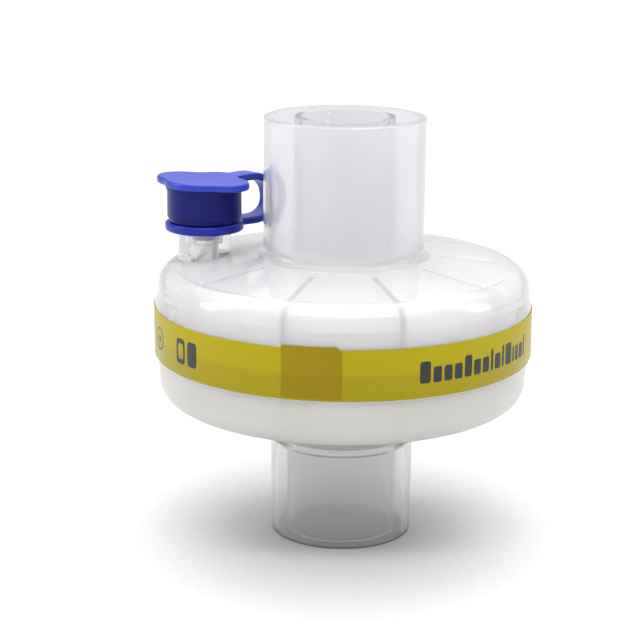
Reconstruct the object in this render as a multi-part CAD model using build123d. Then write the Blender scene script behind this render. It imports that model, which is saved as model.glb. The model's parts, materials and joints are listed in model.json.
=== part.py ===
from build123d import *
import os
from math import cos, pi, radians, sin, tan

# A breathing circuit filter: two welded shells around a filter disc, with conical
# connectors above and below, a wrapped label, and a sampling port with a tethered cap.
# Millimetres. +Z is the airway axis, and z = 0 is the rim of the lower connector.
# Azimuths are degrees from +X towards +Y. The label's lap faces -Y.

# Cone connectors: a short straight land at the tip, then a 1 in 40 taper.
TAPER = 1 / 80
TIP_LAND = 4.0
TUBE_WALL = 1.05
RIM_ROUND = 0.25

# Lower connector: a 22 mm male cone outside, a 15 mm female cone inside.
LOWER_OUTER_R = 11.0
LOWER_INNER_BORE_R = 7.65
LOWER_INNER_WALL = 0.9
LOWER_INNER_SETBACK = 0.3
LOWER_GAP_DEPTH = 14.5
LOWER_WEB = 1.2
LOWER_ROOT_Z = 19.8

# Lower shell, from the connector's root out to the weld rim.
BOWL_SLOPE = 7.8
BOWL_CORNER_R = 3.2
BOWL_DRAFT = 4.4
BOWL_TOP_Z = 29.0
SHELL_WALL = 1.3

# Weld rim, which carries the label, and the spigot that joins the two shells.
RIM_R = 29.0
RIM_PROUD = 0.35
RIM_STEP = 0.3
SPLIT_Z = 33.0
SKIRT_WALL = 1.35
WELD_CLEARANCE = 0.1
SPIGOT_WALL = 1.2
SPIGOT_TOP_Z = 38.5
SPIGOT_HEADROOM = 0.15

# Filter disc, on its seat inside the spigot.
DISC_BOTTOM_Z = 33.5
DISC_THICKNESS = 3.0
DISC_EDGE_CLEARANCE = 0.2
SEAT_WIDTH = 0.9
SEAT_LIP = 0.6

# Upper shell, from the top of the label to the root of the sleeve.
DOME_FOOT_Z = 36.9
DOME_DRAFT = 7.1
DOME_CORNER_R = 3.3
DOME_SLOPE = 6.8
DOME_CROWN_Z = 44.4

# Upper connector: a 22 mm female sleeve around a 15 mm male cone.
SLEEVE_R = 12.35
SLEEVE_TOP_Z = 65.4
SLEEVE_FLARE = 1.25
SOCKET_MOUTH_R = 11.2
SOCKET_FLOOR_Z = 45.5
UPPER_INNER_R = 7.65
UPPER_BORE_R = 6.65

# Radial ribs that hold the disc from both sides.
RIB_COUNT = 10
RIB_THICKNESS = 0.9
UPPER_RIB_START_R = 14.6
LOWER_RIB_START_R = 13.0

# Label: one strip wrapped once, its end lapped over its start.
LABEL_BOTTOM_Z = 29.3
LABEL_HEIGHT = 7.5
LABEL_THICKNESS = 0.13
LABEL_CLEARANCE = 0.02
LAP_START_DEG = -107.0
LAP_END_DEG = -90.2
LAP_RISE = 0.45
LAP_CLIP = 0.6

# Sampling port: a stout neck, a slimmer hub with two lock ears, a 6 per cent female taper.
PORT_AZIMUTH = 176.5
PORT_INSET = 7.5
NECK_R = 4.05
NECK_TOP_Z = 47.45
HUB_R = 3.35
HUB_TOP_Z = 54.1
EAR_R = 3.9
EAR_HEIGHT = 1.1
EAR_WIDTH = 3.6
LUER_TAPER = 0.03
LUER_MOUTH_R = 2.15
LUER_DEPTH = 8.6
PASSAGE_R = 1.4

# Tether ring, which turns on the hub above the neck.
RING_R = 6.05
RING_HEIGHT = 1.35
RING_ROUND = 0.35
RING_CLEARANCE = 0.06
SEAT_CLEARANCE = 0.05

# Cap: a skirted body with a plug, under a plate with two finger wings.
CAP_R = 5.72
CAP_SKIRT_WALL = 1.35
CAP_NECK_IN = 0.25
CAP_NECK_IN_HEIGHT = 0.6
CAP_GAP = 0.12
PLATE_BOTTOM_Z = 54.35
PLATE_THICKNESS = 1.15
PLATE_R = 6.15
PLATE_ROUND = 0.3
PLATE_POINTS = 40
STEP_WIDTH = 0.14
STEP_HEIGHT = 0.4
CAP_AZIMUTH = 55.0
WING_LENGTH = 2.2
WING_OFFSET = 94.0
WING_HALF_SPREAD = 44.0
SCOOP_DEPTH = 0.75
SCOOP_OFFSET = 42.0
SCOOP_HALF_SPREAD = 34.0
PLUG_CLEARANCE = 0.05
PLUG_LENGTH = 8.0
PLUG_ROUND = 0.3

# Strap: a flat band that bows out from the plate and back to the ring.
STRAP_AZIMUTH = 45.0
STRAP_WIDTH = 3.3
STRAP_THICKNESS = 1.15
STRAP_REACH = 13.8
STUB_REACH = 7.1
STRAP_END_CLEARANCE = 0.05
STRAP_ROUND = 0.25

# Sizes and places worked out from the values above.
BOWL_RIM_R = RIM_R - RIM_PROUD
SKIRT_INNER_R = RIM_R - SKIRT_WALL
SPIGOT_R = SKIRT_INNER_R - WELD_CLEARANCE
SPIGOT_INNER_R = SPIGOT_R - SPIGOT_WALL
DISC_TOP_Z = DISC_BOTTOM_Z + DISC_THICKNESS
DISC_R = SPIGOT_INNER_R - DISC_EDGE_CLEARANCE
SEAT_INNER_R = SPIGOT_INNER_R - SEAT_WIDTH
SPIGOT_CLEAR_Z = SPIGOT_TOP_Z + SPIGOT_HEADROOM
LOWER_TUBE_INNER_R = LOWER_OUTER_R - TUBE_WALL
LOWER_INNER_R = LOWER_INNER_BORE_R + LOWER_INNER_WALL
WEB_TOP_Z = LOWER_GAP_DEPTH + LOWER_WEB
RING_BORE_R = HUB_R + RING_CLEARANCE
RING_BOTTOM_Z = NECK_TOP_Z + SEAT_CLEARANCE
RING_TOP_Z = RING_BOTTOM_Z + RING_HEIGHT
CAP_BOTTOM_Z = RING_TOP_Z + CAP_GAP
CAP_CEILING_Z = HUB_TOP_Z + SEAT_CLEARANCE
PORT_OFFSET = RIM_R - PORT_INSET
PORT = Pos(PORT_OFFSET * cos(radians(PORT_AZIMUTH)), PORT_OFFSET * sin(radians(PORT_AZIMUTH)), 0)
STRAP_TOP_Z = PLATE_BOTTOM_Z + (PLATE_THICKNESS + STRAP_THICKNESS) / 2
STRAP_BOTTOM_Z = RING_BOTTOM_Z + (RING_HEIGHT - STRAP_THICKNESS) / 2
BEYOND = 5.0
BASE = (Align.CENTER, Align.CENTER, Align.MIN)


def turned(points, rounds=None):
    """A solid of revolution about Z from (radius, z) points, with chosen corners rounded."""
    face = make_face(Plane.XZ * Polyline(*points, close=True))
    for (r, z), size in (rounds or {}).items():
        corner = face.vertices().sort_by_distance(Vector(r, 0, z))[0]
        face = fillet(corner, size)
    return revolve(face, axis=Axis.Z)


def shell_corner(rim_r, rim_z, draft, crown_r, crown_z, slope, inset=0.0):
    """Where a drafted side wall meets a sloping crown, both moved inwards by inset.

    A crown above the rim has a positive slope, and one below the rim a negative slope.
    """
    up = 1 if crown_z > rim_z else -1
    side_r = rim_r - inset / cos(radians(draft))
    level = crown_z - up * inset / cos(radians(slope))
    lean = up * tan(radians(draft))
    fall = up * tan(radians(slope))
    r = (side_r - (level + crown_r * fall - rim_z) * lean) / (1 - fall * lean)
    return r, level - (r - crown_r) * fall


def crown_height(r, crown_r, crown_z, slope, up):
    """The height of a sloping crown at a radius."""
    return crown_z - up * (r - crown_r) * tan(radians(slope))


def ribs(start_r, end_r, bottom_z, top_z):
    """Radial plates, evenly spaced, with one gap centred on the front."""
    plate = Pos((start_r + end_r) / 2, 0, (bottom_z + top_z) / 2)
    plate *= Box(end_r - start_r, RIB_THICKNESS, top_z - bottom_z)
    step = 360 / RIB_COUNT
    return Compound([Rot(0, 0, -90 + step * (i + 0.5)) * plate for i in range(RIB_COUNT)])


def fused(*shapes):
    """One clean solid from overlapping shapes."""
    body = shapes[0]
    for shape in shapes[1:]:
        body = body + shape
    return body.clean()


def dome_corner(inset=0.0):
    """The corner of the upper shell's side and crown."""
    return shell_corner(RIM_R, DOME_FOOT_Z, DOME_DRAFT, SLEEVE_R, DOME_CROWN_Z, DOME_SLOPE, inset)


def bowl_corner(inset=0.0):
    """The corner of the lower shell's side and floor."""
    return shell_corner(BOWL_RIM_R, BOWL_TOP_Z, BOWL_DRAFT, lower_root_r(), LOWER_ROOT_Z, BOWL_SLOPE, inset)


def lower_root_r():
    """The lower connector's outer radius at its root, after its taper."""
    return LOWER_OUTER_R + (LOWER_ROOT_Z - TIP_LAND) * TAPER


def upper_outside():
    """The upper shell's outer form as a filled block, from the weld plane to the sleeve's rim."""
    corner = dome_corner()
    foot = (SLEEVE_R, DOME_CROWN_Z)
    rim = (SLEEVE_R, SLEEVE_TOP_Z)
    outline = [(0, SPLIT_Z), (RIM_R, SPLIT_Z), (RIM_R, DOME_FOOT_Z), corner, foot, rim, (0, SLEEVE_TOP_Z)]
    return turned(outline, {corner: DOME_CORNER_R, foot: SLEEVE_FLARE, rim: RIM_ROUND})


def upper_chamber():
    """The space inside the upper shell, above the weld plane."""
    corner = dome_corner(SHELL_WALL)
    ceiling_z = crown_height(0, *corner, DOME_SLOPE, 1)
    wall_r = corner[0] + (corner[1] - SPIGOT_CLEAR_Z) * tan(radians(DOME_DRAFT))
    outline = [
        (0, SPLIT_Z - BEYOND),
        (SKIRT_INNER_R, SPLIT_Z - BEYOND),
        (SKIRT_INNER_R, SPIGOT_CLEAR_Z),
        (min(wall_r, SKIRT_INNER_R), SPIGOT_CLEAR_Z),
        corner,
        (0, ceiling_z),
    ]
    if wall_r >= SKIRT_INNER_R:
        outline.pop(3)
    return turned(outline, {corner: DOME_CORNER_R - SHELL_WALL})


def upper_socket():
    """The ring-shaped space between the sleeve and the inner cone."""
    top_z = SLEEVE_TOP_Z + BEYOND
    land_z = SLEEVE_TOP_Z - TIP_LAND
    outline = [
        (UPPER_INNER_R + (land_z - SOCKET_FLOOR_Z) * TAPER, SOCKET_FLOOR_Z),
        (SOCKET_MOUTH_R - (SLEEVE_TOP_Z - SOCKET_FLOOR_Z) * TAPER, SOCKET_FLOOR_Z),
        (SOCKET_MOUTH_R, SLEEVE_TOP_Z),
        (SOCKET_MOUTH_R, top_z),
        (UPPER_INNER_R, top_z),
        (UPPER_INNER_R, land_z),
    ]
    return turned(outline)


def port_hub():
    """The sampling port's outer form: neck, hub and two lock ears, around its own axis."""
    neck = Pos(0, 0, SPIGOT_TOP_Z) * Cylinder(NECK_R, NECK_TOP_Z - SPIGOT_TOP_Z, align=BASE)
    hub = Pos(0, 0, SPIGOT_TOP_Z) * Cylinder(HUB_R, HUB_TOP_Z - SPIGOT_TOP_Z, align=BASE)
    ear_disc = Pos(0, 0, HUB_TOP_Z - EAR_HEIGHT) * Cylinder(EAR_R, EAR_HEIGHT, align=BASE)
    ears = ear_disc & Pos(0, 0, HUB_TOP_Z) * Box(2 * EAR_R, EAR_WIDTH, 2 * EAR_HEIGHT)
    return neck + hub + ears


def port_bore():
    """The port's female taper and the narrower passage into the upper chamber."""
    floor_z = HUB_TOP_Z - LUER_DEPTH
    outline = [
        (0, DISC_TOP_Z),
        (PASSAGE_R, DISC_TOP_Z),
        (PASSAGE_R, floor_z),
        (LUER_MOUTH_R - LUER_DEPTH * LUER_TAPER, floor_z),
        (LUER_MOUTH_R, HUB_TOP_Z),
        (LUER_MOUTH_R, HUB_TOP_Z + BEYOND),
        (0, HUB_TOP_Z + BEYOND),
    ]
    return turned(outline)


def upper_housing():
    """Upper shell, sleeve, inner cone, sampling port and ribs, moulded as one."""
    outside = upper_outside()
    ceiling_z = DOME_CROWN_Z + BEYOND
    disc_ribs = ribs(UPPER_RIB_START_R, DISC_R, DISC_TOP_Z, ceiling_z)
    wall_ribs = ribs(DISC_R - RIB_THICKNESS, RIM_R, SPIGOT_CLEAR_Z, ceiling_z)
    solid_ribs = [rib & outside for rib in list(disc_ribs) + list(wall_ribs)]
    neck = (PORT * port_hub()) - upper_chamber()
    shell = fused(outside - upper_chamber(), neck)
    body = fused(shell, *solid_ribs)
    bore = Pos(0, 0, SPLIT_Z) * Cylinder(UPPER_BORE_R, SLEEVE_TOP_Z - SPLIT_Z + BEYOND, align=BASE)
    body = body - upper_socket() - bore - (PORT * port_bore())
    return body.clean()


def lower_outside():
    """The lower shell's outer form as a filled block, from the connector's rim to the spigot."""
    corner = bowl_corner()
    tip = (LOWER_OUTER_R, 0)
    outline = [
        (0, 0),
        tip,
        (LOWER_OUTER_R, TIP_LAND),
        (lower_root_r(), LOWER_ROOT_Z),
        corner,
        (BOWL_RIM_R, BOWL_TOP_Z),
        (RIM_R, BOWL_TOP_Z + RIM_STEP),
        (RIM_R, SPLIT_Z),
        (SPIGOT_R, SPLIT_Z),
        (SPIGOT_R, SPIGOT_TOP_Z),
        (0, SPIGOT_TOP_Z),
    ]
    return turned(outline, {corner: BOWL_CORNER_R})


def lower_chamber():
    """The space inside the lower shell: bowl, well above the web, and the disc's pocket."""
    corner = bowl_corner(SHELL_WALL)
    wall_r = BOWL_RIM_R - SHELL_WALL / cos(radians(BOWL_DRAFT))
    seat_foot_z = DISC_BOTTOM_Z - SEAT_LIP - (wall_r - SEAT_INNER_R)
    side_r = wall_r - (BOWL_TOP_Z - seat_foot_z) * tan(radians(BOWL_DRAFT))
    outline = [
        (0, WEB_TOP_Z),
        (LOWER_TUBE_INNER_R, WEB_TOP_Z),
        (LOWER_TUBE_INNER_R, crown_height(LOWER_TUBE_INNER_R, *corner, BOWL_SLOPE, -1)),
        corner,
        (side_r if seat_foot_z < BOWL_TOP_Z else wall_r, seat_foot_z),
        (SEAT_INNER_R, DISC_BOTTOM_Z - SEAT_LIP),
        (SEAT_INNER_R, DISC_BOTTOM_Z),
        (SPIGOT_INNER_R, DISC_BOTTOM_Z),
        (SPIGOT_INNER_R, SPIGOT_TOP_Z + BEYOND),
        (0, SPIGOT_TOP_Z + BEYOND),
    ]
    return turned(outline, {corner: BOWL_CORNER_R - SHELL_WALL})


def lower_gap():
    """The ring-shaped space between the two tubes of the lower connector."""
    outline = [
        (LOWER_INNER_R, -BEYOND),
        (LOWER_TUBE_INNER_R, -BEYOND),
        (LOWER_TUBE_INNER_R, LOWER_GAP_DEPTH),
        (LOWER_INNER_R, LOWER_GAP_DEPTH),
    ]
    return turned(outline)


def lower_bore():
    """The female cone through the inner tube, and the setback of that tube's rim."""
    land_z = LOWER_INNER_SETBACK + TIP_LAND
    outline = [
        (0, -BEYOND),
        (LOWER_INNER_R, -BEYOND),
        (LOWER_INNER_R, LOWER_INNER_SETBACK),
        (LOWER_INNER_BORE_R, LOWER_INNER_SETBACK),
        (LOWER_INNER_BORE_R, land_z),
        (LOWER_INNER_BORE_R - (WEB_TOP_Z - land_z) * TAPER, WEB_TOP_Z),
        (0, WEB_TOP_Z),
    ]
    return turned(outline)


def lower_housing():
    """Lower shell, both tubes of its connector, spigot, seat and ribs, moulded as one."""
    outside = lower_outside()
    plates = [rib & outside for rib in ribs(LOWER_RIB_START_R, BOWL_RIM_R, LOWER_ROOT_Z, DISC_BOTTOM_Z)]
    shell = outside - lower_chamber()
    body = fused(shell, *plates)
    return (body - lower_gap() - lower_bore()).clean()


def filter_media():
    """The flat disc of nonwoven filter media."""
    return Pos(0, 0, DISC_BOTTOM_Z) * Cylinder(DISC_R, DISC_THICKNESS, align=BASE)


def label_layer(inner_r, bottom_z):
    """One full turn of label at a radius."""
    outer = Cylinder(inner_r + LABEL_THICKNESS, LABEL_HEIGHT, align=BASE)
    return Pos(0, 0, bottom_z) * (outer - Cylinder(inner_r, LABEL_HEIGHT, align=BASE))


def label_band():
    """The wrapped strip, with its end lapped over its start, set a little high and clipped."""
    inner_r = RIM_R + LABEL_CLEARANCE
    wrap = label_layer(inner_r, LABEL_BOTTOM_Z)
    lap_r = inner_r + LABEL_THICKNESS
    outer = lap_r + LABEL_THICKNESS
    start = (outer * cos(radians(LAP_START_DEG)), outer * sin(radians(LAP_START_DEG)))
    end = (outer * cos(radians(LAP_END_DEG)), outer * sin(radians(LAP_END_DEG)))
    top_z = LABEL_BOTTOM_Z + LABEL_HEIGHT + LAP_RISE
    bottom_z = LABEL_BOTTOM_Z + LAP_RISE
    flag = Polyline(
        (start[0], bottom_z),
        (start[0], top_z),
        (end[0] - LAP_CLIP, top_z),
        (end[0], top_z - LAP_CLIP),
        (end[0], bottom_z),
        close=True,
    )
    window = extrude(make_face(Plane.XZ * flag), amount=2 * outer, dir=(0, -1, 0))
    lap = label_layer(lap_r, bottom_z) & window
    return fused(wrap, lap)


def strap_stub(bottom_z, inner_r):
    """The root of the strap where it leaves the plate or the ring."""
    length = STUB_REACH - inner_r
    block = Pos(inner_r + length / 2, 0, bottom_z) * Box(length, STRAP_WIDTH, STRAP_THICKNESS, align=BASE)
    return Rot(0, 0, STRAP_AZIMUTH) * block


def tether_ring():
    """The ring that turns on the port's hub, with the strap's lower root."""
    outline = [
        (RING_BORE_R, RING_BOTTOM_Z),
        (RING_R, RING_BOTTOM_Z),
        (RING_R, RING_TOP_Z),
        (RING_BORE_R, RING_TOP_Z),
    ]
    ring = turned(outline, {outline[1]: RING_ROUND, outline[2]: RING_ROUND})
    stub = strap_stub(STRAP_BOTTOM_Z, (RING_BORE_R + RING_R) / 2)
    return PORT * fused(ring, stub)


def swell(azimuth, centre, half_spread):
    """A raised cosine: 1 at the centre, and 0 from half_spread degrees away."""
    away = (azimuth - centre + 180) % 360 - 180
    return cos(pi / 2 * away / half_spread) ** 2 if abs(away) < half_spread else 0.0


def plate_radius(azimuth):
    """The plate's radius: a circle, a wing each side, and a scoop each side of the strap."""
    radius = PLATE_R
    for side in (-1, 1):
        radius += WING_LENGTH * swell(azimuth, CAP_AZIMUTH + side * WING_OFFSET, WING_HALF_SPREAD)
        radius -= SCOOP_DEPTH * swell(azimuth, CAP_AZIMUTH + side * SCOOP_OFFSET, SCOOP_HALF_SPREAD)
    return radius


def cap_plate():
    """The cap's top plate with its two finger wings."""
    turns = [360 / PLATE_POINTS * i for i in range(PLATE_POINTS)]
    points = [(plate_radius(a) * cos(radians(a)), plate_radius(a) * sin(radians(a))) for a in turns]
    plate = extrude(make_face(Spline(*points, periodic=True)), amount=PLATE_THICKNESS)
    plate = fillet(plate.edges().group_by(Axis.Z)[-1], PLATE_ROUND)
    return Pos(0, 0, PLATE_BOTTOM_Z) * plate


def port_cap():
    """The cap: plate, skirted body, plug and the strap's upper root, moulded as one."""
    skirt_r = CAP_R - CAP_SKIRT_WALL
    neck_in_z = CAP_BOTTOM_Z + CAP_NECK_IN_HEIGHT
    step_z = PLATE_BOTTOM_Z - STEP_HEIGHT
    body = turned(
        [
            (skirt_r, CAP_BOTTOM_Z),
            (CAP_R - CAP_NECK_IN, CAP_BOTTOM_Z),
            (CAP_R - CAP_NECK_IN, neck_in_z),
            (CAP_R, neck_in_z),
            (CAP_R, step_z),
            (CAP_R + STEP_WIDTH, step_z),
            (CAP_R + STEP_WIDTH, PLATE_BOTTOM_Z),
            (0, PLATE_BOTTOM_Z),
            (0, CAP_CEILING_Z),
            (skirt_r, CAP_CEILING_Z),
        ]
    )
    root_r = LUER_MOUTH_R - PLUG_CLEARANCE
    tip = (root_r - PLUG_LENGTH * LUER_TAPER, HUB_TOP_Z - PLUG_LENGTH)
    top_z = PLATE_BOTTOM_Z
    plug = turned([(0, tip[1]), tip, (root_r, HUB_TOP_Z), (root_r, top_z), (0, top_z)], {tip: PLUG_ROUND})
    stub = strap_stub(STRAP_TOP_Z - STRAP_THICKNESS, PLATE_R / 2)
    return PORT * fused(body, cap_plate(), plug, stub)


def cap_strap():
    """The band between plate and ring: two straight arms joined by a half-round bow."""
    outer_r = (STRAP_TOP_Z - STRAP_BOTTOM_Z) / 2
    middle_z = STRAP_BOTTOM_Z + outer_r
    bow_x = STRAP_REACH - outer_r
    band = Pos(bow_x, middle_z) * (Circle(outer_r) - Circle(outer_r - STRAP_THICKNESS))
    band &= Pos(bow_x + STRAP_REACH / 2, middle_z) * Rectangle(STRAP_REACH, 2 * outer_r)
    for start_x, low_z in (
        (STUB_REACH + STRAP_END_CLEARANCE, STRAP_TOP_Z - STRAP_THICKNESS),
        (STUB_REACH, STRAP_BOTTOM_Z),
    ):
        arm = Rectangle(bow_x - start_x, STRAP_THICKNESS, align=(Align.MIN, Align.MIN))
        band += Pos(start_x, low_z) * arm
    strap = extrude(Plane.XZ * band, amount=STRAP_WIDTH / 2, both=True)
    side_edges = strap.edges().filter_by(Plane.XZ).filter_by(Axis.Z, reverse=True)
    strap = fillet(side_edges, STRAP_ROUND)
    return PORT * Rot(0, 0, STRAP_AZIMUTH) * strap


if __name__ == "__main__":
    os.makedirs("parts", exist_ok=True)
    for make in (
        upper_housing,
        lower_housing,
        filter_media,
        label_band,
        tether_ring,
        cap_strap,
        port_cap,
    ):
        export_step(make(), f"parts/{make.__name__}.step")
        print("wrote", make.__name__)
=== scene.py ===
"""Dresses the breathing circuit filter: shell, label, cap and media finishes, on a pale studio floor.

Everything is in metres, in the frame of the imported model. The filter stands on its lower connector at z = 0,
the airway axis is +Z, and the label's lap faces -Y, towards the camera.
"""

import json
import logging
import math
from dataclasses import dataclass, field, replace
from enum import Enum
from functools import reduce
from typing import Optional

import bmesh
import bpy
import numpy as np
from mathutils import Matrix, Vector


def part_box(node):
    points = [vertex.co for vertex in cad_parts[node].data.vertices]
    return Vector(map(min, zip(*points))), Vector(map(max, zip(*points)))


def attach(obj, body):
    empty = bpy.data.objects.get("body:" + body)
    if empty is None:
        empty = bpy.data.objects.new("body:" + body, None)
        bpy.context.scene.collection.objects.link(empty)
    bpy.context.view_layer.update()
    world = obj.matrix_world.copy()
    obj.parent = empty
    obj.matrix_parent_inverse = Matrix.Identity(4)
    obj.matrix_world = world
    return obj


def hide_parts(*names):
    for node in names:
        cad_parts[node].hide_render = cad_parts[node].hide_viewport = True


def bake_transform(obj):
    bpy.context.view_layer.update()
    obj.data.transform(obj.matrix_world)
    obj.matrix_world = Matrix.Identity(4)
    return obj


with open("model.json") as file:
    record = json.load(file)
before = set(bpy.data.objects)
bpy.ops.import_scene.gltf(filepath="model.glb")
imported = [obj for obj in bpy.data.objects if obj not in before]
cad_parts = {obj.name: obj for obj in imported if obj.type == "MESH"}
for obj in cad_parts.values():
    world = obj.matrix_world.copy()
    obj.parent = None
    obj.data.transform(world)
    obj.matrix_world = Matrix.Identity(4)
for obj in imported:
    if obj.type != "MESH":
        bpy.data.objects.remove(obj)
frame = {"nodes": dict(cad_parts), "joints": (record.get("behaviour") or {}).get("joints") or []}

log = logging.getLogger("filter")

MM = 0.001
FULL_TURN = 2 * math.pi
QUARTER_TURN = math.pi / 2
MERGE_DISTANCE = 1e-8
SUBSURFACE_REACH = (0.3, 0.4, 1.0)
CLOUD_SCALE = 55.0
SCUFF_SCALE = 160.0
SCUFF_TURN = (0.4, 0.9, 0.3)
SCUFF_STRETCH = (1.0, 14.0, 3.0)


class Body(Enum):
    """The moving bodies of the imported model."""

    HOUSING = "housing"
    TETHER = "tether"
    CAP = "cap"


class Slot(Enum):
    """The record's material slots."""

    CLEAR = "clear_shell"
    MILKY = "milky_shell"
    LABEL = "label"
    CAP = "cap_plastic"


# Mesh building


def grid_quads(rows: int, cols: int, wrap_rows: bool, wrap_cols: bool) -> np.ndarray:
    """Quads that join each point of a rows by cols grid to its neighbours.

    Args:
        rows: Number of points along the first parameter.
        cols: Number of points along the second parameter.
        wrap_rows: True if the last row joins the first.
        wrap_cols: True if the last column joins the first.

    Returns:
        An integer array with four point numbers per quad.
    """
    i, j = np.meshgrid(
        np.arange(rows if wrap_rows else rows - 1), np.arange(cols if wrap_cols else cols - 1), indexing="ij"
    )
    i2, j2 = (i + 1) % rows, (j + 1) % cols
    corners = [i * cols + j, i2 * cols + j, i2 * cols + j2, i * cols + j2]
    return np.stack(corners, axis=-1).reshape(-1, 4)


def fan(centre: int, ring: np.ndarray) -> np.ndarray:
    """Triangles from one centre point to a closed ring of points."""
    return np.stack([np.full(len(ring), centre), ring, np.roll(ring, -1)], axis=-1)


@dataclass
class Surface:
    """Points and faces of one mesh, which may be added to another."""

    points: np.ndarray
    faces: list

    @classmethod
    def from_grid(
        cls, grid: np.ndarray, wrap_rows: bool = False, wrap_cols: bool = True, cap_ends: bool = False
    ) -> "Surface":
        """The surface over a grid of points.

        Args:
            grid: Points as an array of rows by cols by 3.
            wrap_rows: True if the last row joins the first.
            wrap_cols: True if the last column joins the first.
            cap_ends: True to close the first and the last row with a fan about its mean.

        Returns:
            The surface, with quads over the grid and triangles over its ends.
        """
        rows, cols = grid.shape[:2]
        points = grid.reshape(-1, 3)
        faces = grid_quads(rows, cols, wrap_rows, wrap_cols).tolist()
        if cap_ends:
            points = np.vstack([points, grid[0].mean(axis=0), grid[-1].mean(axis=0)])
            faces += fan(rows * cols, np.arange(cols)).tolist()
            faces += fan(rows * cols + 1, np.arange((rows - 1) * cols, rows * cols)).tolist()
        return cls(points, faces)

    def joined(self, other: "Surface") -> "Surface":
        """This surface and another as one, without merging points."""
        start = len(self.points)
        moved = [[start + k for k in face] for face in other.faces]
        return Surface(np.vstack([self.points, other.points]), self.faces + moved)

    def to_object(self, name: str, smooth_angle: float = 35.0) -> bpy.types.Object:
        """A new object with this surface as its mesh, faces outwards and edges sharp above an angle.

        Args:
            name: The piece's name.
            smooth_angle: The largest angle in degrees that is shaded smooth.

        Returns:
            The object, linked to the scene.
        """
        mesh = bpy.data.meshes.new(name)
        mesh.from_pydata(self.points.tolist(), [], self.faces)
        work = bmesh.new()
        work.from_mesh(mesh)
        bmesh.ops.remove_doubles(work, verts=work.verts, dist=MERGE_DISTANCE)
        bmesh.ops.recalc_face_normals(work, faces=work.faces)
        work.to_mesh(mesh)
        work.free()
        mesh.shade_smooth()
        mesh.set_sharp_from_angle(angle=math.radians(smooth_angle))
        made = bpy.data.objects.new(name, mesh)
        bpy.context.scene.collection.objects.link(made)
        return made


def round_corners(points: list, radii: list, steps: int = 6) -> np.ndarray:
    """A closed outline with each corner replaced by a tangent arc.

    Args:
        points: The corners in order, as pairs.
        radii: One radius per corner, 0 for a sharp corner.
        steps: Number of segments per arc.

    Returns:
        The outline as an array of pairs.
    """
    corners = np.array(points, float)
    before, after = np.roll(corners, 1, axis=0) - corners, np.roll(corners, -1, axis=0) - corners
    before /= np.linalg.norm(before, axis=1)[:, None]
    after /= np.linalg.norm(after, axis=1)[:, None]
    outline = []
    for corner, a, b, radius in zip(corners, before, after, radii):
        if radius <= 0:
            outline.append(corner[None])
            continue
        half = math.acos(float(np.clip(a @ b, -1, 1))) / 2
        middle = (a + b) / np.linalg.norm(a + b)
        centre = corner + middle * radius / math.sin(half)
        reach = radius / math.tan(half)
        start, end = corner + a * reach - centre, corner + b * reach - centre
        turn = math.pi - 2 * half
        share = np.linspace(0, 1, steps + 1)[:, None]
        arc = (start * np.sin((1 - share) * turn) + end * np.sin(share * turn)) / math.sin(turn)
        outline.append(centre + arc)
    return np.vstack(outline)


def lathe(outline: np.ndarray, steps: int, centre: tuple = (0.0, 0.0)) -> Surface:
    """A ring: a closed (radius, z) outline carried round a vertical axis.

    Each point is (centre + radius * (cos a, sin a), z), for angles a all round.
    """
    angle = np.arange(steps) * FULL_TURN / steps
    around = np.stack([np.cos(angle), np.sin(angle)], axis=-1)
    flat = outline[None, :, :1] * around[:, None, :] + np.array(centre)
    height = np.broadcast_to(outline[None, :, 1:], flat.shape[:2] + (1,))
    return Surface.from_grid(np.concatenate([flat, height], axis=-1), wrap_rows=True, wrap_cols=True)


def box_mm(node: str) -> tuple:
    """A CAD node's lowest and highest corner as arrays in millimetres."""
    low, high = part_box(node)
    return np.array(low) / MM, np.array(high) / MM


def port_axis_mm() -> np.ndarray:
    """Where the sampling port's axis stands, from the joint that the ring turns about, in millimetres."""
    joint = next(j for j in frame["joints"] if j["name"] == "ring_turn")
    return np.array(joint["pos_m"][:2]) / MM


# Node graphs


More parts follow.
